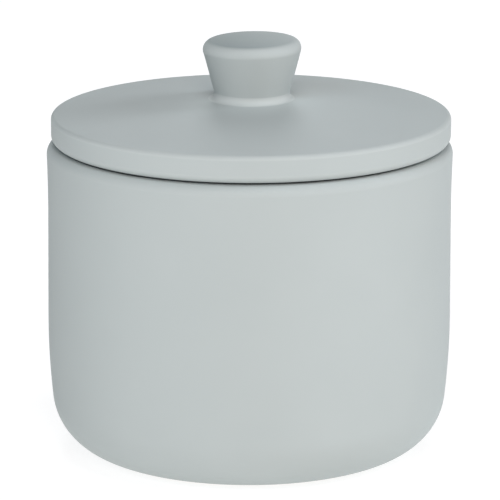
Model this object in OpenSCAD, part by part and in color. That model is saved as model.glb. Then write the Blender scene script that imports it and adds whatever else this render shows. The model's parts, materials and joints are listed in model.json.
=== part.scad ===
// Round lidded jar in matt glazed stoneware, with a knobbed lid that lifts off.
// The origin is the middle of the surface that the jar stands on, and +Z is the axis of turning.

/* [Jar] */
// Diameter across the belly
jar_d = 105; // [90:1:130]
// Height from the foot ring to the rim
jar_h = 81.5; // [70:0.5:105]
// Thickness of the side wall
wall_t = 5.2; // [4.2:0.1:6.4]
// Radius of the round where the side turns under
heel_r = 16.2; // [12:0.2:22]
// Radius of the long swell between that round and the belly
swell_r = 190; // [130:5:240]
// Height of the belly above the foot ring
swell_h = 35; // [30:0.5:42]
// How far the side draws in under the rim
waist_in = 0.13; // [0.05:0.01:0.3]
// How far the rim stands out past the belly
rim_out = 0.15; // [0.05:0.05:0.5]
// Height over which the rim flares out
flare_h = 15.5; // [8:0.5:20]
// Round on the outside of the rim
rim_round = 2.6; // [2:0.1:3.2]
// Round on the inside of the rim
mouth_round = 1.2; // [0.6:0.1:1.6]

/* [Jar floor] */
// Height of the inside floor above the foot ring
floor_h = 6; // [4.8:0.2:8]
// Radius of the round between the inside floor and the wall
inner_heel_r = 12; // [8:0.5:16]
// Width of the bare ring that the glaze stops at
foot_w = 5.4; // [4:0.2:8]
// Depth of the hollow inside the foot ring
foot_hollow = 1.2; // [0.8:0.1:1.6]
// Round on the inner edge of the foot ring
foot_round = 0.5; // [0.3:0.05:0.6]

/* [Lid] */
// How far the lid's edge stands inside the edge of the rim
lid_inset = 0.85; // [0.4:0.05:1.2]
// Thickness of the lid at its edge
edge_t = 7; // [6:0.1:8.5]
// Rise of the lid's top from its edge to the foot of the knob
crown_rise = 4.3; // [3:0.1:6.5]
// Round on the upper edge of the lid
edge_round = 1.2; // [0.8:0.1:2]
// Round on the lower edge of the lid
under_round = 2; // [1.2:0.1:2.4]
// Thickness of the lid under its sloping top
lid_t = 5.4; // [4.6:0.1:6]
// Height of the seam between the rim and the lid, which the seal's flange fills
seam = 0.5; // [0.4:0.05:0.8]

/* [Knob] */
// Height of the knob above the lid's top
knob_h = 15.3; // [13:0.1:19]
// Diameter of the knob where it meets the lid
neck_d = 18.8; // [18:0.1:22]
// Diameter that the knob's side leans out to at its top, before rounding
knob_d = 26.9; // [25:0.1:30]
// Fillet between the lid and the knob
neck_fillet = 1.6; // [1:0.1:2.4]
// Round on the upper edge of the knob
knob_round = 2.4; // [1.8:0.1:3.4]
// Rise of the knob's slightly domed top
knob_dome = 0.7; // [0.1:0.1:1.2]
// Thickness of the wall round the hollow in the knob, at its neck
knob_wall = 4.6; // [4.2:0.1:5.4]
// Thickness of the knob above that hollow
cap_t = 6.4; // [5:0.2:8]
// Round on the mouth of that hollow
hollow_round = 0.8; // [0.5:0.1:1.2]

/* [Spigot] */
// Depth of the ring under the lid that drops into the mouth
spigot_h = 9; // [8:0.2:12]
// Thickness of that ring
spigot_t = 4.2; // [3.6:0.1:5]
// Free width between the spigot and the mouth
spigot_clear = 2.3; // [2:0.1:2.8]
// Round on the lower edges of the spigot
spigot_round = 1.1; // [0.6:0.1:1.5]
// Fillet inside the spigot, under the lid
spigot_fillet = 2; // [1:0.2:3]

/* [Seal] */
// Depth of the groove that the seal sits in
groove_d = 0.8; // [0.5:0.1:1]
// Thickness of the seal's band
band_t = 1.6; // [1.3:0.1:1.8]
// Height of the seal's band
band_h = 6.6; // [5.8:0.1:7.2]
// Height of each lip where it leaves the band
lip_h = 1; // [0.8:0.1:1.2]
// Height of each lip at its free edge
lip_tip = 0.5; // [0.3:0.05:0.7]
// Distance from one lip to the next
lip_pitch = 2.3; // [2:0.1:2.5]
// Free width between the lips and the mouth
lip_clear = 0.15; // [0.1:0.05:0.3]
// Free width between the seal's flange and the rounds of the rim and the lid
flange_clear = 0.2; // [0.1:0.05:0.4]

/* [Foot pads] */
// Diameter of each pad
pad_d = 9.5; // [7:0.5:12]
// Height that the pads hold the foot ring off the surface
pad_stand = 0.4; // [0.3:0.05:0.6]
// Round on the lower edge of each pad
pad_round = 0.4; // [0.2:0.05:0.5]
// Free width between the pads and the foot ring
pad_inset = 2.6; // [1:0.2:5]

/* [Hidden] */
$fn = 128;

glaze_colour = [0.72, 0.75, 0.745];
seal_colour = [0.25, 0.265, 0.27];
pad_colour = [0.82, 0.84, 0.84];

// Steps along a round, and along the long swell and flare
round_steps = 12;
sweep_steps = 6;
// Number of pads and the turn of the first one
pad_count = 4;
pad_turn = 360 / pad_count / 2;

// Heights above the surface that the jar stands on
foot_z = pad_stand;
hollow_z = foot_z + foot_hollow;
floor_z = foot_z + floor_h;
belly_z = foot_z + swell_h;
rim_z = foot_z + jar_h;
under_z = rim_z + seam;
edge_z = under_z + edge_t;
neck_z = edge_z + crown_rise;
knob_z = neck_z + knob_h;

// Radii of the jar
jar_r = jar_d / 2;
mouth_r = jar_r - wall_t;
waist_r = jar_r - waist_in;
rim_r = jar_r + rim_out;

// The swell's middle. The wall's inside is swept about the same point.
swell_x = jar_r - swell_r;
inner_swell_r = swell_r - wall_t;

// Middle of a heel round that runs smoothly into the swell outside or inside
function heel_x(heel_z, reach) = swell_x + sqrt(pow(reach, 2) - pow(belly_z - heel_z, 2));
heel_z = foot_z + heel_r;
outer_heel_x = heel_x(heel_z, swell_r - heel_r);
heel_turn = atan2(heel_z - belly_z, outer_heel_x - swell_x);
inner_heel_z = floor_z + inner_heel_r;
inner_heel_x = heel_x(inner_heel_z, inner_swell_r - inner_heel_r);
inner_heel_turn = atan2(inner_heel_z - belly_z, inner_heel_x - swell_x);

// The foot ring lies between the heel round and the hollow, which its inner rounds share
foot_in_r = outer_heel_x - foot_w;
foot_edge_r = min(foot_round, foot_hollow / 2);

// The flare is one arc that leaves the waist upright and meets the rim's round smoothly
flare_turn = 2 * atan((rim_out + waist_in) / flare_h);
flare_r = flare_h / sin(flare_turn);
flare_z = rim_z - rim_round * (1 + sin(flare_turn)) - flare_h;
rim_x = rim_r - rim_round * cos(flare_turn);

// Radii of the lid, its spigot and the seal
lid_r = rim_r - lid_inset;
neck_r = neck_d / 2;
knob_r = knob_d / 2;
hollow_r = neck_r - knob_wall;
spigot_r = mouth_r - spigot_clear;
spigot_in_r = spigot_r - spigot_t;
seat_r = spigot_r - groove_d;
band_r = seat_r + band_t;
lip_r = mouth_r - lip_clear;
flange_r = min(rim_x, lid_r - under_round) - flange_clear;
spigot_z = under_z - spigot_h;
band_z = under_z - band_h;
// The upper lip starts just below the mouth's inner round
lip_z = rim_z - mouth_round - lip_h / 2;

// Slopes of the lid's top and of the knob's side
crown_turn = atan(crown_rise / (lid_r - neck_r));
lean_turn = atan((knob_r - neck_r) / knob_h);
// Height of the lid's top and of its underside at a radius
function crown_z(r) = edge_z + (lid_r - r) * tan(crown_turn);
function ceiling_z(r) = crown_z(r) - lid_t / cos(crown_turn);
// Radius of the knob's side at a height
function side_r(z) = neck_r + (z - neck_z) * tan(lean_turn);

// Middle of the lid's upper edge round
edge_x = lid_r - edge_round;
edge_round_z = crown_z(edge_x) - edge_round / cos(crown_turn);
// Middles of the rounds under the lid, at the knob's hollow and inside the spigot
hollow_x = hollow_r + hollow_round;
hollow_round_z = ceiling_z(hollow_x) + hollow_round / cos(crown_turn);
corner_x = spigot_in_r - spigot_fillet;
corner_z = ceiling_z(corner_x) - spigot_fillet / cos(crown_turn);
// Middle of the knob's fillet, which halves the angle between the lid's top and the knob's side
fillet_half = (90 - lean_turn + crown_turn) / 2;
fillet_run = neck_fillet / sin(fillet_half);
fillet_x = neck_r + fillet_run * cos(fillet_half - crown_turn);
fillet_z = neck_z + fillet_run * sin(fillet_half - crown_turn);
// Middle of the round on the knob's upper edge
knob_round_z = knob_z - knob_round;
knob_round_x = side_r(knob_round_z) - knob_round / cos(lean_turn);
// The knob's dome is one arc that runs smoothly into that round
dome_turn = 2 * atan(knob_dome / knob_round_x);
dome_r = knob_round + knob_round_x / sin(dome_turn);

// Points along an arc about (x, z)
function arc(x, z, r, from, to, steps = round_steps) = [
    for (i = [0:steps])
        let (a = from + (to - from) * i / steps)
        [x + r * cos(a), z + r * sin(a)]
];

// The jar's wall in section, from the middle of the underside round to the middle of the floor
jar_section = concat(
    [[0, hollow_z]],
    arc(foot_in_r - foot_edge_r, hollow_z - foot_edge_r, foot_edge_r, 90, 0, sweep_steps),
    arc(foot_in_r + foot_edge_r, foot_z + foot_edge_r, foot_edge_r, 180, 270, sweep_steps),
    arc(outer_heel_x, heel_z, heel_r, -90, heel_turn),
    arc(swell_x, belly_z, swell_r, heel_turn, 0, sweep_steps),
    arc(waist_r + flare_r, flare_z, flare_r, 180, 180 - flare_turn, sweep_steps),
    arc(rim_x, rim_z - rim_round, rim_round, -flare_turn, 90),
    arc(mouth_r + mouth_round, rim_z - mouth_round, mouth_round, 90, 180),
    arc(swell_x, belly_z, inner_swell_r, 0, inner_heel_turn, sweep_steps),
    arc(inner_heel_x, inner_heel_z, inner_heel_r, inner_heel_turn, -90),
    [[0, floor_z]]
);

// The underside of the lid, from the middle of the knob's hollow to the lid's lower edge
lid_under = concat(
    arc(0, knob_z - cap_t - hollow_r, hollow_r, 90, 0),
    arc(hollow_x, hollow_round_z, hollow_round, 180, 270 - crown_turn, sweep_steps),
    arc(corner_x, corner_z, spigot_fillet, 90 - crown_turn, 0, sweep_steps),
    arc(spigot_in_r + spigot_round, spigot_z + spigot_round, spigot_round, 180, 270, sweep_steps),
    arc(spigot_r - spigot_round, spigot_z + spigot_round, spigot_round, -90, 0, sweep_steps),
    [[spigot_r, band_z]],
    [[seat_r, band_z]],
    [[seat_r, under_z]],
    arc(lid_r - under_round, under_z + under_round, under_round, -90, 0, sweep_steps)
);

// The top of the lid and the knob, from the lid's edge up to the middle of the knob
lid_top = concat(
    arc(edge_x, edge_round_z, edge_round, 0, 90 - crown_turn),
    arc(fillet_x, fillet_z, neck_fillet, 270 - crown_turn, 180 - lean_turn),
    arc(knob_round_x, knob_round_z, knob_round, -lean_turn, 90 - dome_turn),
    arc(0, knob_z + knob_dome - dome_r, dome_r, 90 - dome_turn, 90, sweep_steps)
);

// One lip of the seal in section, at a height
function lip(z) = [
    [band_r, z + lip_h / 2],
    [lip_r, z + lip_tip / 2],
    [lip_r, z - lip_tip / 2],
    [band_r, z - lip_h / 2]
];

// The seal in section: a flange under the lid, a band round the spigot and its lips
seal_section = concat(
    [[seat_r, band_z], [seat_r, under_z], [flange_r, under_z], [flange_r, rim_z], [band_r, rim_z]],
    lip(lip_z),
    lip(lip_z - lip_pitch),
    [[band_r, band_z]]
);

// One pad in section, from its middle on the surface to its middle under the jar
pad_section = concat(
    [[0, 0]],
    arc(pad_d / 2 - pad_round, pad_round, pad_round, -90, 0, sweep_steps),
    [[pad_d / 2, hollow_z], [0, hollow_z]]
);

// The fired jar, with its hollow foot
module jar_body() {
    color(glaze_colour)
        rotate_extrude()
            polygon(jar_section);
}

// The fired lid, knob and spigot, which are one casting
module lid() {
    color(glaze_colour)
        rotate_extrude()
            polygon(concat(lid_under, lid_top));
}

// The rubber seal that the lid rests on
module seal_ring() {
    color(seal_colour)
        rotate_extrude()
            polygon(seal_section);
}

// One of the rubber pads stuck inside the foot ring
module foot_pad(index) {
    color(pad_colour)
        rotate(pad_turn + index * 360 / pad_count)
            translate([foot_in_r - pad_inset - pad_d / 2, 0, 0])
                rotate_extrude()
                    polygon(pad_section);
}

jar_body();
lid();
seal_ring();
foot_pad(0);  // foot_pad_1
foot_pad(1);  // foot_pad_2
foot_pad(2);  // foot_pad_3
foot_pad(3);  // foot_pad_4
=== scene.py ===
# %% [markdown]
# # A lidded stoneware jar, turned and glazed in Blender
# The jar stands on a bathroom shelf and holds cotton pads. It is cast stoneware under a matt,
# blue-grey glaze. Its lid and knob are one casting, and a soft seal under the lid closes it.
# The construction already exists as a CAD model, which is loaded first and never moved.
# Each piece below takes its place from that model and gets the finer shape and the finish
# that the camera sees.

# %% Load the CAD model as the frame
import json
import math

import bpy
from mathutils import Matrix, Vector, noise

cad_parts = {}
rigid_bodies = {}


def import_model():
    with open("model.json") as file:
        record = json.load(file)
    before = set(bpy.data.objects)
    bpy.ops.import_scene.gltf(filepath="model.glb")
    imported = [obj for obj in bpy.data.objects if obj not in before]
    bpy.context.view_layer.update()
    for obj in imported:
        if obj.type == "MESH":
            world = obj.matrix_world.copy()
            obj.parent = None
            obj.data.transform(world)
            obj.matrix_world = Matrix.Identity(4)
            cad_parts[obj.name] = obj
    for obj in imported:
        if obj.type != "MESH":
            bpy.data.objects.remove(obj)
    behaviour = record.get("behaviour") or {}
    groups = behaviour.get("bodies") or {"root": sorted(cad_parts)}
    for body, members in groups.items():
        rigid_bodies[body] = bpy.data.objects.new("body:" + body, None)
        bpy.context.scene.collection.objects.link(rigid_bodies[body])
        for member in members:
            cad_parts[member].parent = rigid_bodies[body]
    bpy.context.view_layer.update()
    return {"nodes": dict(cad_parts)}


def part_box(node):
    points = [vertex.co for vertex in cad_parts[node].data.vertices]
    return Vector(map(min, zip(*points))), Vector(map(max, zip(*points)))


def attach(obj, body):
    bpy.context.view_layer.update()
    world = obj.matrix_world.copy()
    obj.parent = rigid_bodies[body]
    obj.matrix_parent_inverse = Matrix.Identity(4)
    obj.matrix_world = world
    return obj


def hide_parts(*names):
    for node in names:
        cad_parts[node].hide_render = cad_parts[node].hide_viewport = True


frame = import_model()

print("CAD nodes:", sorted(frame["nodes"]))

# %% [markdown]
# ## Reading sizes off the frame
# A potter measures a jar with callipers. Here the CAD nodes are the thing to measure: the lowest
# and highest corner of a node give its heights and its widest radius. The sizes that no corner
# shows, such as the radius of a round, are the drawing's own values, written in millimetres and
# turned into Blender's metres with one factor.

# %% Heights and radii that the frame gives
MM = 0.001

jar_low, jar_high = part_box("jar_body")
lid_low, lid_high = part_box("lid")
seal_low, seal_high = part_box("seal_ring")

foot_z = jar_low.z
rim_z = jar_high.z
rim_r = jar_high.x
under_z = seal_high.z
lid_r = lid_high.x
spigot_z = lid_low.z
top_z = lid_high.z

print(f"Foot ring at {foot_z / MM:.2f} mm, rim at {rim_z / MM:.2f} mm, top at {top_z / MM:.2f} mm")
print(f"Rim radius {rim_r / MM:.2f} mm, lid radius {lid_r / MM:.2f} mm")

# %% [markdown]
# ## Drawing a section from arcs
# Everything here is round, so a piece is fully described by half of its section: a line in the
# plane of radius and height. It could be traced as a Bezier curve, but arcs and straight runs
# say exactly what a mould maker says: this round is so many millimetres, and it runs smoothly
# into the next one. A stretch also carries its finish, because the glaze stops at the foot.

# %% Helpers for a section
GLAZED, BARE = 0, 1
ROUND_STEPS = 24
# Points nearer than this to each other, or to the axis, are one point
TOUCHING = 0.001 * MM


def arc(x, z, radius, start, stop, finish=GLAZED, steps=ROUND_STEPS):
    """Points of a round about (x, z) between two angles in degrees, each with its finish."""
    points = []
    for i in range(steps + 1):
        turn = math.radians(start + (stop - start) * i / steps)
        points.append((x + radius * math.cos(turn), z + radius * math.sin(turn), finish))
    return points


def refined(section, longest=1.5 * MM):
    """The same section with its long runs cut up, so that shading doesn't drift along them."""
    fine = [section[0]]
    for x, z, finish in section[1:]:
        x0, z0, _ = fine[-1]
        run = math.hypot(x - x0, z - z0)
        # Where one round ends and the next starts, the two share a point
        pieces = math.ceil(run / longest) if run > TOUCHING else 0
        for i in range(1, pieces + 1):
            share = i / pieces
            fine.append((x0 + (x - x0) * share, z0 + (z - z0) * share, finish))
    return fine


# %% [markdown]
# ## The sizes of the jar
# The outside has a round heel, a long swell that runs on from it, an almost straight side and a
# rim that flares by a quarter of a millimetre. Inside, the wall follows at an even thickness.
# These are the few sizes that a mould maker would need besides the height and the width.

# %% Sizes of the jar
wall = 5.2 * MM
rim_out = 0.15 * MM
waist_in = 0.13 * MM
heel_r = 16.2 * MM
swell_r = 190 * MM
swell_h = 35 * MM
flare_h = 15.5 * MM
rim_round = 2.6 * MM
mouth_round = 1.2 * MM
floor_h = 6 * MM
inner_heel_r = 12 * MM

belly_r = rim_r - rim_out
belly_z = foot_z + swell_h
mouth_r = belly_r - wall
swell_x = belly_r - swell_r
print(f"Belly radius {belly_r / MM:.2f} mm, mouth radius {mouth_r / MM:.2f} mm")

# %% [markdown]
# ## The section of the jar
# Two rounds meet smoothly where their middles and the meeting point lie on one line. That gives
# the middle of the heel round by Pythagoras, outside and inside, and the angles at which one
# round takes over from the next. The same section could be drawn by eye with a curve, but a
# kink of half a degree would show in the highlight.

# %% Draw the side of the jar
def heel(z, radius, swell):
    """Middle of a heel round at a height, and the angle at which the swell takes over."""
    reach = swell - radius
    x = swell_x + math.sqrt(reach ** 2 - (belly_z - z) ** 2)
    return x, math.degrees(math.atan2(z - belly_z, x - swell_x))


heel_z = foot_z + heel_r
heel_x, heel_turn = heel(heel_z, heel_r, swell_r)
floor_z = foot_z + floor_h
inner_heel_z = floor_z + inner_heel_r
inner_heel_x, inner_turn = heel(inner_heel_z, inner_heel_r, swell_r - wall)

flare_turn = 2 * math.degrees(math.atan((rim_out + waist_in) / flare_h))
flare_r = flare_h / math.sin(math.radians(flare_turn))
flare_z = rim_z - rim_round * (1 + math.sin(math.radians(flare_turn))) - flare_h
rim_x = rim_r - rim_round * math.cos(math.radians(flare_turn))

outside = (
    arc(swell_x, belly_z, swell_r, heel_turn, 0)
    + arc(belly_r - waist_in + flare_r, flare_z, flare_r, 180, 180 - flare_turn)
    + arc(rim_x, rim_z - rim_round, rim_round, -flare_turn, 90)
)
inside = (
    arc(mouth_r + mouth_round, rim_z - mouth_round, mouth_round, 90, 180)
    + arc(swell_x, belly_z, swell_r - wall, 0, inner_turn)
    + arc(inner_heel_x, inner_heel_z, inner_heel_r, inner_turn, -90)
    + [(0, floor_z, GLAZED)]
)
print(f"Heel round's middle at {heel_x / MM:.2f} mm, rim flares by {flare_turn:.2f} degrees")

# %% [markdown]
# ## The foot, where the glaze stops
# A glazed jar would weld itself to the kiln shelf, so its maker wipes the foot ring bare. The
# glaze ends in a soft roll a little proud of the clay. A colour change alone would look printed
# on, so the section steps in at the line: the bare stretch lies below the glaze's surface.

# %% Draw the foot and join the jar's section
foot_w = 5.4 * MM
foot_hollow = 1.2 * MM
foot_round = 0.5 * MM
glaze_t = 0.16 * MM
# Degrees: how far up the heel round the bare clay reaches, how far down the foot's inner round
# the glaze reaches, and how long its roll is there
bare_turn = 8
foot_glazed_turn = 55
foot_roll_turn = 5
HEEL_STEPS = 60

hollow_z = foot_z + foot_hollow
foot_in_r = heel_x - foot_w
foot_round_x, foot_round_z = foot_in_r + foot_round, foot_z + foot_round
foot_glaze_end = 180 + foot_glazed_turn
roll_turn = math.degrees(2 * glaze_t / heel_r)
glaze_start = -90 + bare_turn

underside = (
    [(0, hollow_z, GLAZED)]
    + arc(foot_in_r - foot_round, hollow_z - foot_round, foot_round, 90, 0)
    + arc(foot_round_x, foot_round_z, foot_round, 180, foot_glaze_end)
)
bare_start = foot_glaze_end + foot_roll_turn
bare_ring = (
    arc(foot_round_x, foot_round_z, foot_round - glaze_t, bare_start, 270, BARE)
    + arc(heel_x, heel_z, heel_r - glaze_t, -90, glaze_start, BARE)
)
heel_start = glaze_start + roll_turn
heel_round = arc(heel_x, heel_z, heel_r, heel_start, heel_turn, steps=HEEL_STEPS)

jar_section = refined(underside + bare_ring + heel_round + outside + inside)
print("Points in the jar's section:", len(jar_section))

# %% [markdown]
# ## Thin glaze on edges, painted light in hollows
# A matt glaze runs a little thin over an edge while it melts, and comes out a shade paler there.
# Tight hollows, such as the fillet under the knob, are made paler still: that is painted light,
# which lifts the shade that falls into them. A shader can guess edges from the mesh, but the
# section says exactly how tightly it bends at each point: the angle between two runs, over their
# length, is one over the radius of the round.

# %% Helper that finds thin glaze on edges and painted light in hollows
# Rounds between these radii go from the full effect to none
FULL_PALE_AT, NO_PALE_AT = 1.2 * MM, 8 * MM
# How thin the glaze gets over an edge, where the painted light in a tight hollow is 1
EDGE_THINNING = 0.3


def paleness(section):
    """How pale each point is: 0 on a flat or broad curve, 1 of painted light in a tight hollow."""
    values = []
    for i, (x, z, _) in enumerate(section):
        x0, z0, _ = section[max(i - 1, 0)]
        x1, z1, _ = section[min(i + 1, len(section) - 1)]
        before, after = Vector((x - x0, z - z0)), Vector((x1 - x, z1 - z))
        length = (before.length + after.length) / 2
        if min(before.length, after.length) < TOUCHING:
            values.append(0.0)
            continue
        bend = math.atan2(before.x * after.y - before.y * after.x, before.dot(after)) / length
        share = min(1.0, max(0.0, (abs(bend) - 1 / NO_PALE_AT) / (1 / FULL_PALE_AT - 1 / NO_PALE_AT)))
        # Convex edges get real thin glaze; concave hollows get the full share as painted light
        values.append(share if bend < 0 else share * EDGE_THINNING)
    return values


# %% [markdown]
# ## Turning a section into a mesh
# Blender's Screw modifier would spin the section, but the mesh is wanted in code for two
# reasons: each ring keeps its finish, and each vertex keeps how pale it is (thin glaze on an edge,
# painted light in a hollow) for the material to read. A ring on the axis is a single vertex, so
# the middle closes with triangles.

# %% The lathe
SEGMENTS = 240


def turned(name, section, middle=(0, 0), segments=SEGMENTS):
    """A mesh object made by turning a section about an upright axis through middle."""
    verts, faces, finishes, pale_shares, rings = [], [], [], [], []
    for (x, z, _), share in zip(section, paleness(section)):
        count = 1 if x < TOUCHING else segments
        rings.append(range(len(verts), len(verts) + count))
        for i in range(count):
            turn = 2 * math.pi * i / segments
            verts.append((middle[0] + x * math.cos(turn), middle[1] + x * math.sin(turn), z))
        pale_shares += [share] * count
    for low, high, (_, _, finish) in zip(rings, rings[1:], section[1:]):
        if len(low) == 1 and len(high) == 1:
            continue
        for i in range(segments):
            j = (i + 1) % segments
            if len(low) == 1:
                faces.append((low[0], high[j], high[i]))
            elif len(high) == 1:
                faces.append((low[i], low[j], high[0]))
            else:
                faces.append((low[i], low[j], high[j], high[i]))
            finishes.append(finish)
    mesh = bpy.data.meshes.new(name)
    mesh.from_pydata(verts, [], faces)
    mesh.polygons.foreach_set("material_index", finishes)
    mesh.polygons.foreach_set("use_smooth", [True] * len(faces))
    mesh.attributes.new("thin_glaze_and_hollow_light", "FLOAT", "POINT").data.foreach_set("value", pale_shares)
    piece = bpy.data.objects.new(name, mesh)
    bpy.context.scene.collection.objects.link(piece)
    print(f"{name}: {len(verts)} vertices, {len(faces)} faces")
    return piece


# %% [markdown]
# ## Letting the clay move a little
# A cast pot isn't a perfect surface of revolution. It leaves its plaster mould soft, and it
# shrinks by a tenth in the kiln. Without any of that, highlights run dead straight and look
# computed. Each vertex is moved inwards by a few hundredths of a millimetre along a slow noise
# field, which bends reflections and leaves the outline alone.

# %% Helpers that uneven a fired piece
# The depth and the size of the noise's waves
SLUMP = 0.05 * MM
SLUMP_SIZE = 28 * MM


def settle(piece):
    """Moves each vertex towards the axis by up to SLUMP, along slow noise."""
    for vertex in piece.data.vertices:
        spot = Vector(vertex.co)
        swing = (1 + noise.noise(spot / SLUMP_SIZE)) / 2
        out = Vector((spot.x, spot.y, 0))
        if out.length > SLUMP:
            vertex.co -= out.normalized() * SLUMP * swing
    piece.data.update()
    print(f"{piece.name}: surface settled by up to {SLUMP / MM:.2f} mm")


def slide(piece, shift):
    """Moves each vertex to the right by what shift gives for its height."""
    for vertex in piece.data.vertices:
        vertex.co.x += shift(vertex.co.z)
    piece.data.update()


# %% [markdown]
# ## Turning the jar
# The jar is one turned mesh. Clay and glaze could be two meshes, but a glaze is a coating: one
# skin with two finishes can't come apart at the line. The mesh rides on the CAD body that carries
# it and stands in for the plain CAD solid, which is hidden.

# %% Make the jar
# How far the jar leans to the left on its way down from the rim, per length
JAR_LEAN = 0.0036

jar = turned("jar", jar_section)
settle(jar)
slide(jar, lambda z: JAR_LEAN * (z - rim_z))
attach(jar, "jar")
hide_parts("jar_body")

# %% [markdown]
# ## The sizes of the lid
# The lid is a disc with a flat edge, and its top rises straight from that edge to the knob, as a
# very low cone. The knob leans outwards as it rises, so that two fingers hold it. Below, a ring
# called the spigot drops into the mouth and keeps the lid centred, and a groove round the spigot
# holds the seal. The knob is hollow below, because thick stoneware cracks as it dries.

# %% Sizes of the lid
edge_t = 7.0 * MM
crown_rise = 4.3 * MM
edge_round = 1.2 * MM
under_round = 2.0 * MM
lid_t = 5.4 * MM
knob_dome = 0.7 * MM
neck_d = 18.8 * MM
knob_d = 26.9 * MM
neck_fillet = 1.6 * MM
knob_round = 2.4 * MM
knob_wall = 4.6 * MM
cap_t = 6.4 * MM
hollow_round = 0.8 * MM
spigot_clear = 2.3 * MM
spigot_t = 4.2 * MM
spigot_round = 1.1 * MM
spigot_fillet = 2.0 * MM
groove_d = 0.8 * MM
groove_round = 0.25 * MM

neck_r, knob_r = neck_d / 2, knob_d / 2
edge_z = under_z + edge_t
neck_z = edge_z + crown_rise
knob_z = top_z - knob_dome
band_z = seal_low.z
spigot_r = mouth_r - spigot_clear
spigot_in_r = spigot_r - spigot_t
seat_r = spigot_r - groove_d
hollow_r = neck_r - knob_wall

slope = math.atan(crown_rise / (lid_r - neck_r))
lean = math.atan((knob_r - neck_r) / (knob_z - neck_z))
slope_deg, lean_deg = math.degrees(slope), math.degrees(lean)
print(f"Top slopes {slope_deg:.1f} degrees, knob leans {lean_deg:.1f} degrees")

# %% [markdown]
# ## Where the rounds of the lid sit
# Most rounds of the lid touch a sloping face, so the middle of each lies one radius away from
# that face, measured square to it. Lid and knob meet in a fillet, and the fillet's middle lies
# on the line that halves the angle between them. The top of the knob is one shallow dome that
# runs smoothly into its round. A bevel on a coarse mesh would be quicker, but it gives the same
# kind of corner everywhere, and on this lid each corner has a radius of its own.

# %% Place the lid's rounds
def crown(radius):
    """Height of the lid's top at a radius."""
    return edge_z + (lid_r - radius) * math.tan(slope)


def ceiling(radius):
    """Height of the lid's underside at a radius."""
    return crown(radius) - lid_t / math.cos(slope)


ABOVE, BELOW = 1, -1


def on_slope(x, face, radius, side):
    """Height of a round's middle at x, where the round touches a sloping face from one side."""
    return face(x) + side * radius / math.cos(slope)


edge_x = lid_r - edge_round
half = (math.pi / 2 - lean + slope) / 2
reach = neck_fillet / math.sin(half)
fillet_x = neck_r + reach * math.cos(half - slope)
fillet_z = neck_z + reach * math.sin(half - slope)
knob_round_z = knob_z - knob_round
knob_x = neck_r + (knob_round_z - neck_z) * math.tan(lean) - knob_round / math.cos(lean)
dome_turn = 2 * math.degrees(math.atan(knob_dome / knob_x))
dome_r = knob_round + knob_x / math.sin(math.radians(dome_turn))
hollow_x = hollow_r + hollow_round
corner_x = spigot_in_r - spigot_fillet
edge_round_z = on_slope(edge_x, crown, edge_round, BELOW)
hollow_round_z = on_slope(hollow_x, ceiling, hollow_round, ABOVE)
corner_z = on_slope(corner_x, ceiling, spigot_fillet, BELOW)
print(f"Knob round's middle at {knob_x / MM:.2f} mm, dome radius {dome_r / MM:.0f} mm")

# %% [markdown]
# ## The section of the lid
# The section runs from the axis under the knob, down round the spigot, through the groove and
# back up over the edge and the knob to the axis. The lid was fired standing on the spigot, so
# the glaze was wiped off its lower edge and stops on each side in a roll, as it does at the foot.

# %% Draw the lid's section
# Degrees of the spigot's round that are glazed on each side, and the length of the roll
spigot_glazed_turn = 35
spigot_roll_turn = 10
GROOVE_STEPS = 8

spigot_round_z = spigot_z + spigot_round
inner_round_x, outer_round_x = spigot_in_r + spigot_round, spigot_r - spigot_round
bare_round = spigot_round - glaze_t
bare_from = spigot_glazed_turn + spigot_roll_turn

lid_under = (
    arc(0, knob_z - cap_t - hollow_r, hollow_r, 90, 0)
    + arc(hollow_x, hollow_round_z, hollow_round, 180, 270 - slope_deg)
    + arc(corner_x, corner_z, spigot_fillet, 90 - slope_deg, 0)
)
spigot = (
    arc(inner_round_x, spigot_round_z, spigot_round, 180, 180 + spigot_glazed_turn)
    + arc(inner_round_x, spigot_round_z, bare_round, 180 + bare_from, 270, BARE)
    + arc(outer_round_x, spigot_round_z, bare_round, -90, -bare_from, BARE)
    + arc(outer_round_x, spigot_round_z, spigot_round, -spigot_glazed_turn, 0)
)
groove_x, groove_z = spigot_r - groove_round, band_z - groove_round
groove = (
    arc(groove_x, groove_z, groove_round, 0, 90, steps=GROOVE_STEPS)
    + [(seat_r, band_z, GLAZED), (seat_r, under_z, GLAZED)]
)
lid_top = (
    arc(lid_r - under_round, under_z + under_round, under_round, -90, 0)
    + arc(edge_x, edge_round_z, edge_round, 0, 90 - slope_deg)
    + arc(fillet_x, fillet_z, neck_fillet, 270 - slope_deg, 180 - lean_deg)
    + arc(knob_x, knob_round_z, knob_round, -lean_deg, 90 - dome_turn)
    + arc(0, top_z - dome_r, dome_r, 90 - dome_turn, 90)
)
lid_section = refined(lid_under + spigot + groove + lid_top)
print("Points in the lid's section:", len(lid_section))

# %% [markdown]
# ## A lid that isn't dead centre
# A lid is put back by hand, so it never sits dead centre. This one stands a third of a
# millimetre to the right, which the seal allows, and the seam looks a touch wider on one side.
# Its knob came out of the mould a quarter of a millimetre further to the right still. The object
# could be moved as a whole, but then the knob would not shift against the lid, so the vertices
# move instead, and the offset eases from one value to the other at the knob's foot.

# %% Helpers for the offsets
LID_OFF_CENTRE = 0.32 * MM
KNOB_OFF_CENTRE = 0.25 * MM
# The knob's offset and its tip each ease in over this height
KNOB_BLEND = 3 * MM


def eased(share):
    """A share between 0 and 1 that starts and ends softly."""
    share = min(1, max(0, share))
    return share ** 2 * (3 - 2 * share)


def knob_shift(z):
    """How far the lid is moved to the right at a height, with more at the knob."""
    return LID_OFF_CENTRE + KNOB_OFF_CENTRE * eased((z - neck_z) / KNOB_BLEND + 0.5)
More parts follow.
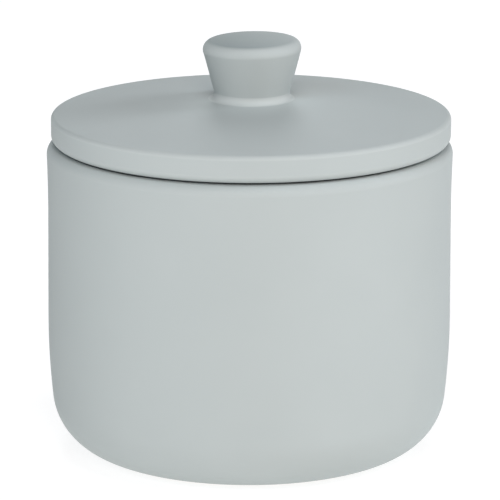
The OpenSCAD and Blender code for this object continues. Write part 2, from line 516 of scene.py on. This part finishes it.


# %% [markdown]
# ## Turning the lid
# The knob's top is tipped by a degree, as a cast knob often is. Its small flat top is coloured
# darker than the slopes around it as painted shade, darkest towards the left and the front. An
# image could mark the place, but the amount follows from height and radius, so each vertex
# simply keeps it.

# %% Make the lid
# How far the knob's top rises to the right and to the back, and sinks to stay in height
KNOB_TIP = math.radians(1.0)
KNOB_NOD = math.radians(0.4)
TIP_SINK = 0.02 * MM
# The painted shade ends this far onto the knob's round, over a soft border of this width
SHADE_REACH = 1.0 * MM
SHADE_EDGE = 1.6 * MM
# How much of the painted shade fades away opposite its dark side, and the dark side's direction
SHADE_FADE = 0.9
DARK_SIDE = Vector((-2, -3)).normalized()


def tip_and_shade_knob(piece):
    """Tips the knob's top and marks where its painted shade lies."""
    knob_shade_shares = []
    for vertex in piece.data.vertices:
        x, y, z = vertex.co
        share = eased((z - (knob_round_z - KNOB_BLEND)) / KNOB_BLEND)
        vertex.co.z += share * (x * math.tan(KNOB_TIP) + y * math.tan(KNOB_NOD) - TIP_SINK)
        # Painted shade: the knob's top is coloured darker, most towards the front and the left
        inside = eased((knob_x + SHADE_REACH - math.hypot(x, y)) / SHADE_EDGE + 0.5)
        low = 1 + DARK_SIDE.dot((x, y)) / knob_x
        depth = 1 - SHADE_FADE * (1 - low / 2)
        knob_shade_shares.append(inside * depth * eased((z - knob_round_z) / knob_round))
    store = piece.data.attributes.new("painted_knob_shade", "FLOAT", "POINT")
    store.data.foreach_set("value", knob_shade_shares)


lid = turned("lid_with_knob", lid_section)
settle(lid)
tip_and_shade_knob(lid)
slide(lid, knob_shift)
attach(lid, "lid")
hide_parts("lid")

# %% [markdown]
# ## The section of the seal
# A ring of soft rubber is stretched over the spigot. Its flange lies between lid and rim, so
# stoneware never knocks on stoneware, and two lips brush the inside of the mouth. A plain ring
# with a bevel would do for the seam, but with the lid off the lips show. Rubber comes out of a
# mould with every edge rounded, so each corner of the section is a small arc.

# %% Draw the seal's section
band_t = 1.6 * MM
lip_h = 1.0 * MM
lip_tip = 0.5 * MM
lip_pitch = 2.3 * MM
lip_clear = 0.15 * MM
# Degrees that each side of a lip's tip falls short of a full quarter turn
lip_taper = 10
fillet = 0.2 * MM
FILLET_STEPS, TIP_STEPS = 6, 12
SEAL_LONGEST = 0.8 * MM

band_r = seat_r + band_t
lip_r = mouth_r - lip_clear
flange_r = seal_high.x
flange_t = under_z - rim_z
first_lip_z = rim_z - mouth_round - lip_h / 2


def corner(x, z, start, stop):
    """A small round of the seal about (x, z)."""
    return arc(x, z, fillet, start, stop, steps=FILLET_STEPS)


def lip(z):
    """One lip with a rounded tip and a fillet on each side, from its upper root down."""
    tip = lip_tip / 2
    tip_turn = 90 - lip_taper
    return (
        corner(band_r + fillet, z + lip_h / 2 + fillet, 180, 270)
        + arc(lip_r - tip, z, tip, tip_turn, -tip_turn, steps=TIP_STEPS)
        + corner(band_r + fillet, z - lip_h / 2 - fillet, 90, 180)
    )


end = flange_t / 2
seal_section = refined(
    [(seat_r, band_z + fillet, GLAZED), (seat_r, under_z, GLAZED)]
    + arc(flange_r - end, under_z - end, end, 90, -90, steps=TIP_STEPS)
    + corner(band_r + fillet, rim_z - fillet, 90, 180)
    + lip(first_lip_z)
    + lip(first_lip_z - lip_pitch)
    + corner(band_r - fillet, band_z + fillet, 0, -90)
    + corner(seat_r + fillet, band_z + fillet, -90, -180),
    longest=SEAL_LONGEST,
)[::-1]
print(f"Lips {lip_clear / MM:.2f} mm inside the mouth, flange {flange_t / MM:.2f} mm thick")

# %% [markdown]
# ## Turning the seal
# The seal is carried by the lid but held by the mouth, and the two aren't on one axis. Real
# rubber gives way. Here the inner side of the band moves with the lid and the rest stays centred
# in the mouth, so the band is a third of a millimetre thinner on one side.

# %% Make the seal
seal = turned("seal", seal_section)
for vertex in seal.data.vertices:
    if vertex.co.xy.length < seat_r + band_t / 4:
        vertex.co.x += LID_OFF_CENTRE
seal.data.update()
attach(seal, "lid")
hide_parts("seal_ring")

# %% [markdown]
# ## The foot pads
# Four small rubber discs are stuck inside the foot ring, and the jar stands on them. A cylinder
# with a bevel would come close. Turning them like the rest gives them what stamped rubber has: a
# soft upper edge, and a face below that is very slightly hollow.

# %% Make the foot pads
pad_round = 0.4 * MM
pad_dish = 0.05 * MM
# Share of the radius over which the hollow is flat
pad_flat = 0.6
PAD_SEGMENTS = 96
PAD_STEPS = 10
PAD_LONGEST = 0.7 * MM

for number in range(1, 5):
    low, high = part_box(f"foot_pad_{number}")
    pad_r = (high.x - low.x) / 2
    middle = ((low.x + high.x) / 2, (low.y + high.y) / 2)
    dish_z = low.z + pad_dish
    upper = pad_round / 2
    section = refined(
        [(0, dish_z, GLAZED), (pad_r * pad_flat, dish_z, GLAZED)]
        + arc(pad_r - pad_round, low.z + pad_round, pad_round, -90, 0, steps=PAD_STEPS)
        + arc(pad_r - upper, high.z - upper, upper, 0, 90, steps=FILLET_STEPS)
        + [(0, high.z, GLAZED)],
        longest=PAD_LONGEST,
    )
    pad = turned(f"pad_{number}", section, middle=middle, segments=PAD_SEGMENTS)
    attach(pad, "jar")
    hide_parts(f"foot_pad_{number}")

# %% [markdown]
# ## Node helpers
# The finishes could be photographs wrapped round the pieces. Here each is a Principled shader fed
# by noise in object space, so nothing depends on unwrapping and nothing stretches. The grain
# sizes are real sizes: the scale of a noise is one over the size of its features, in metres.

# %% Helpers for a finish and its grain
def finish(name, roughness, specular=0.5):
    """A new material, and its tree and Principled shader to build on."""
    material = bpy.data.materials.new(name)
    material.use_nodes = True
    tree = material.node_tree
    shader = tree.nodes["Principled BSDF"]
    shader.inputs["Roughness"].default_value = roughness
    shader.inputs["Specular IOR Level"].default_value = specular
    return material, tree, shader


def grain(tree, size, detail=2.0):
    """Noise in object space whose features have that size in metres."""
    place = tree.nodes.new("ShaderNodeTexCoord")
    node = tree.nodes.new("ShaderNodeTexNoise")
    node.inputs["Scale"].default_value = 1 / size
    node.inputs["Detail"].default_value = detail
    tree.links.new(place.outputs["Object"], node.inputs["Vector"])
    return node.outputs["Fac"]


def spread(tree, value, low, high, start=0.3, stop=0.7):
    """Maps noise between start and stop to low and high."""
    node = tree.nodes.new("ShaderNodeMapRange")
    node.inputs["From Min"].default_value = start
    node.inputs["From Max"].default_value = stop
    node.inputs["To Min"].default_value = low
    node.inputs["To Max"].default_value = high
    tree.links.new(value, node.inputs["Value"])
    return node.outputs["Result"]


# %% [markdown]
# ## Colour and relief from the grain
# The same grain serves twice: it mixes two colours, and it lifts the surface. Real relief this
# fine would take millions of faces, so it is a bump in the shading. Everything that can be seen
# as a shape is in the mesh.

# %% Helpers for colour and relief
def blend(tree, share, first, second):
    """Mixes two colours, or a colour and what a node gives, by a share."""
    node = tree.nodes.new("ShaderNodeMix")
    node.data_type = "RGBA"
    tree.links.new(share, node.inputs["Factor"])
    for socket, colour in (("A", first), ("B", second)):
        target = next(s for s in node.inputs if s.name == socket and s.type == "RGBA")
        if isinstance(colour, tuple):
            target.default_value = (*colour, 1)
        else:
            tree.links.new(colour, target)
    return next(s for s in node.outputs if s.type == "RGBA")


def bump(tree, height, depth, under=None):
    """A bump of that depth in metres, on top of another one if given."""
    node = tree.nodes.new("ShaderNodeBump")
    node.inputs["Distance"].default_value = depth
    tree.links.new(height, node.inputs["Height"])
    if under:
        tree.links.new(under, node.inputs["Normal"])
    return node.outputs["Normal"]


# %% [markdown]
# ## The matt glaze
# A matt glaze is full of tiny crystals: they scatter the highlight into a soft bloom and break
# the surface into a very fine grain. Its colour drifts a little where it lies thicker and turns
# paler where it lies thin over an edge. Tight hollows are made paler as painted light, and the
# knob's top darker as painted shade. Painted images could hold all that, but each of these is
# one noise or one value stored on the vertices.

# %% Make the glaze
GLAZE = (0.436, 0.475, 0.466)
GLAZE_DEEP = (0.426, 0.465, 0.457)
# Paler on edges from thin glaze, and in tight hollows as painted light
GLAZE_THIN_AND_HOLLOW_LIGHT = (0.510, 0.546, 0.532)
# Painted shade for the knob's top
GLAZE_PAINTED_SHADE = (0.263, 0.305, 0.302)
DRIFT_SIZE = 24 * MM
RIPPLE_SIZE, RIPPLE_DEPTH = 5 * MM, 0.010 * MM
CRYSTAL_SIZE, CRYSTAL_DEPTH = 0.35 * MM, 0.004 * MM
SMOOTH, ROUGH = 0.55, 0.62


def stored(tree, name):
    """A value that the vertices of a mesh keep under that name."""
    node = tree.nodes.new("ShaderNodeAttribute")
    node.attribute_name = name
    return node.outputs["Fac"]


def matt_glaze():
    """The blue-grey glaze of jar and lid."""
    material, tree, shader = finish("blue_grey_glaze", roughness=0.58, specular=0.15)
    drift = spread(tree, grain(tree, DRIFT_SIZE), 0, 1)
    colour = blend(tree, drift, GLAZE_DEEP, GLAZE)
    # Paler edges are thin glaze; paler hollows are painted light
    colour = blend(tree, stored(tree, "thin_glaze_and_hollow_light"), colour, GLAZE_THIN_AND_HOLLOW_LIGHT)
    # The knob's darker top is painted shade
    colour = blend(tree, stored(tree, "painted_knob_shade"), colour, GLAZE_PAINTED_SHADE)
    tree.links.new(colour, shader.inputs["Base Color"])
    crystals = grain(tree, CRYSTAL_SIZE, detail=3)
    tree.links.new(spread(tree, crystals, SMOOTH, ROUGH), shader.inputs["Roughness"])
    ripple = bump(tree, grain(tree, RIPPLE_SIZE), RIPPLE_DEPTH)
    tree.links.new(bump(tree, crystals, CRYSTAL_DEPTH, ripple), shader.inputs["Normal"])
    print(f"{material.name}: {len(tree.nodes)} nodes")
    return material


glaze = matt_glaze()

# %% [markdown]
# ## Bare stoneware
# Where the glaze was wiped off, the fired clay shows: a warm off-white, dull and slightly gritty,
# with small dark specks of iron. The specks could be scattered one by one. A noise of which only
# the highest peaks count gives the same, and needs no list of places.

# %% Make the bare clay
CLAY = (0.640, 0.585, 0.500)
CLAY_PALE = (0.700, 0.655, 0.580)
IRON = (0.220, 0.150, 0.095)
CLOUD_SIZE = 6 * MM
SPECK_SIZE = 0.9 * MM
# The heights of noise at which a speck begins and is full, and how strongly it covers the clay
SPECK_START, SPECK_FULL, SPECK_COVER = 0.68, 0.74, 0.8
GRIT_SIZE, GRIT_DEPTH = 0.5 * MM, 0.05 * MM


def bare_clay():
    """The unglazed stoneware of foot ring and spigot."""
    material, tree, shader = finish("bare_clay", roughness=0.86, specular=0.3)
    body = blend(tree, spread(tree, grain(tree, CLOUD_SIZE), 0, 1), CLAY, CLAY_PALE)
    peaks = grain(tree, SPECK_SIZE, detail=1)
    specks = spread(tree, peaks, 0, SPECK_COVER, start=SPECK_START, stop=SPECK_FULL)
    tree.links.new(blend(tree, specks, body, IRON), shader.inputs["Base Color"])
    grit = bump(tree, grain(tree, GRIT_SIZE, detail=4), GRIT_DEPTH)
    tree.links.new(grit, shader.inputs["Normal"])
    print(f"{material.name}: {len(tree.nodes)} nodes")
    return material


clay = bare_clay()
for piece in (jar, lid):
    piece.data.materials.append(glaze)
    piece.data.materials.append(clay)

# %% [markdown]
# ## The two rubbers
# The seal is a charcoal rubber, and its dark colour also serves as painted shade that keeps the
# seam between lid and rim dark. The pads are a cloudy clear rubber. Both have the even, faintly
# dusty look of moulded rubber, so one function makes both. The pads let light in below the
# surface.
# Glass with fog inside would show that too, but subsurface scattering is made for it.

# %% Make the rubbers
# The seal's near-black is partly painted shade: it keeps the seam between lid and rim dark
SEAL_DARK, SEAL_PALE = (0.042, 0.046, 0.048), (0.056, 0.061, 0.063)
PAD_DARK, PAD_PALE = (0.60, 0.63, 0.63), (0.67, 0.69, 0.69)
PAD_LIGHT_DEPTH = 1.5 * MM
PAD_SCATTER = 0.35
DUST_SIZE = 1.6 * MM
SKIN_SIZE, SKIN_DEPTH = 0.25 * MM, 0.006 * MM


def rubber(name, dark, pale, roughness, depth=0):
    """Moulded rubber between two tones. Light reaches depth into it."""
    material, tree, shader = finish(name, roughness, specular=0.35)
    dust = spread(tree, grain(tree, DUST_SIZE, detail=3), 0, 1)
    tree.links.new(blend(tree, dust, dark, pale), shader.inputs["Base Color"])
    shader.inputs["Subsurface Weight"].default_value = PAD_SCATTER if depth else 0
    shader.inputs["Subsurface Scale"].default_value = depth
    skin = bump(tree, grain(tree, SKIN_SIZE), SKIN_DEPTH)
    tree.links.new(skin, shader.inputs["Normal"])
    print(f"{material.name}: {len(tree.nodes)} nodes")
    return material


# Dark seal rubber, partly painted shade for the seam
seal.data.materials.append(rubber("dark_seal", SEAL_DARK, SEAL_PALE, roughness=0.55))
pad_rubber = rubber("cloudy_pad", PAD_DARK, PAD_PALE, roughness=0.42, depth=PAD_LIGHT_DEPTH)
for number in range(1, 5):
    bpy.data.objects[f"pad_{number}"].data.materials.append(pad_rubber)

# %% [markdown]
# ## The floor
# The jar stands on a wide sheet of opal plastic lit from below, as small goods are often
# photographed. It is a stage and no part of the jar. White paper would do, but it shows a shadow
# all round the foot, which the glow from below fills in. Far away the sheet curves up, so that a
# camera at table height sees pale plastic behind the jar and no dark room.

# %% Make the floor
FLOOR_R = 6.0
SWEEP_R = 0.6
FLOOR_SEGMENTS = 96
FLOOR_GLOW = 0.8
OPAL_DARK, OPAL_PALE = (0.29, 0.29, 0.29), (0.31, 0.31, 0.31)
TOOTH_SIZE = 1.2 * MM

flat_r = FLOOR_R - SWEEP_R
sweep = [(0, 0, GLAZED), (flat_r, 0, GLAZED)] + arc(flat_r, SWEEP_R, SWEEP_R, -90, 0)
floor = turned("light_table", sweep[::-1], segments=FLOOR_SEGMENTS)
opal, tree, shader = finish("opal_plastic", roughness=0.9, specular=0.1)
tooth = spread(tree, grain(tree, TOOTH_SIZE), 0, 1)
tree.links.new(blend(tree, tooth, OPAL_DARK, OPAL_PALE), shader.inputs["Base Color"])
shader.inputs["Emission Color"].default_value = (1, 1, 1, 1)
shader.inputs["Emission Strength"].default_value = FLOOR_GLOW
floor.data.materials.append(opal)

# %% [markdown]
# ## The camera
# The picture was taken from well back with a long lens, which is why the two sides of the jar
# stay almost parallel. The camera isn't rolled, looks down by a little under 14 degrees and
# aims at the middle of the jar. The focal length isn't guessed: it follows from how many pixels
# of the picture the jar fills at that distance.

# %% Place the camera
SENSOR = 36.0
PICTURE = 500
PITCH = math.radians(13.82)
DISTANCE = 1.155
# The jar's half width is this many pixels of the picture at the distance above
HALF_WIDTH_PX = 201.3
AIM_H = 52.6 * MM
AIM_OFF_CENTRE = 0.05 * MM
NEAREST, FARTHEST = 0.05, 50

aim = Vector((AIM_OFF_CENTRE, 0, foot_z + AIM_H))

camera_data = bpy.data.cameras.new("camera")
camera_data.sensor_width = SENSOR
camera_data.lens = SENSOR * HALF_WIDTH_PX * DISTANCE / (belly_r * PICTURE)
camera_data.clip_start, camera_data.clip_end = NEAREST, FARTHEST
camera = bpy.data.objects.new("camera", camera_data)
bpy.context.scene.collection.objects.link(camera)
back = Vector((0, -math.cos(PITCH), math.sin(PITCH)))
turn = (-back).to_track_quat("-Z", "Y").to_matrix().to_4x4()
camera.matrix_world = Matrix.Translation(aim + back * DISTANCE) @ turn
bpy.context.scene.camera = camera
print(f"Lens {camera_data.lens:.0f} mm at {DISTANCE} m")

# %% [markdown]
# ## The light
# A product photographer lights a matt pot with big soft sources and lets its form do the rest.
# Each softbox is a square area light that faces the jar. Its place is an azimuth round the jar,
# with 0 in front, and a height angle. A slightly warm key stands in front, a cooler fill to its
# left, one box hangs high, two wash the right side, and two behind draw the bright rim along the
# far edge. They could all be white, but then the dark side would look as warm as the bright one.

# %% Set up the softboxes
# Both in metres
BOX_SIZE = 0.8
BOX_DISTANCE = 2.2


def softbox(name, azimuth, elevation, power, colour):
    """An area light that faces the middle of the jar."""
    data = bpy.data.lights.new(name, "AREA")
    data.size, data.energy, data.color = BOX_SIZE, power, colour
    light = bpy.data.objects.new(name, data)
    a, e = math.radians(azimuth), math.radians(elevation)
    way = Vector((math.sin(a) * math.cos(e), -math.cos(a) * math.cos(e), math.sin(e)))
    light.location = aim + way * BOX_DISTANCE
    light.rotation_euler = way.to_track_quat("Z", "Y").to_euler()
    light.visible_camera = False
    bpy.context.scene.collection.objects.link(light)
    print(f"{name}: {power} W at azimuth {azimuth}, elevation {elevation}")


softbox("key", azimuth=0, elevation=28, power=21.6, colour=(1.0, 0.88, 0.82))
softbox("fill", azimuth=-30, elevation=28, power=12.7, colour=(0.72, 0.85, 1.0))
softbox("high", azimuth=0, elevation=65, power=13.2, colour=(0.90, 0.96, 1.0))
softbox("right_low", azimuth=90, elevation=12, power=11.4, colour=(0.92, 0.94, 1.0))
softbox("right_high", azimuth=90, elevation=28, power=14.4, colour=(0.92, 0.94, 1.0))
softbox("back_low", azimuth=180, elevation=28, power=6.8, colour=(0.95, 0.98, 1.0))
softbox("back_high", azimuth=180, elevation=46, power=7.1, colour=(0.95, 0.98, 1.0))

# %% [markdown]
# ## A dark room
# In a studio with the blinds down, all light comes from the boxes and the floor. A bright world
# would be the quicker way to soft light, but it would flatten the shading on the jar's side. The
# standard view shows colours as they are, where a film-like one would turn the white floor grey.

# %% Darken the room
world = bpy.data.worlds.new("studio")
world.use_nodes = True
world.node_tree.nodes["Background"].inputs["Strength"].default_value = 0.0
bpy.context.scene.world = world
bpy.context.scene.view_settings.view_transform = "Standard"
print("View transform:", bpy.context.scene.view_settings.view_transform)
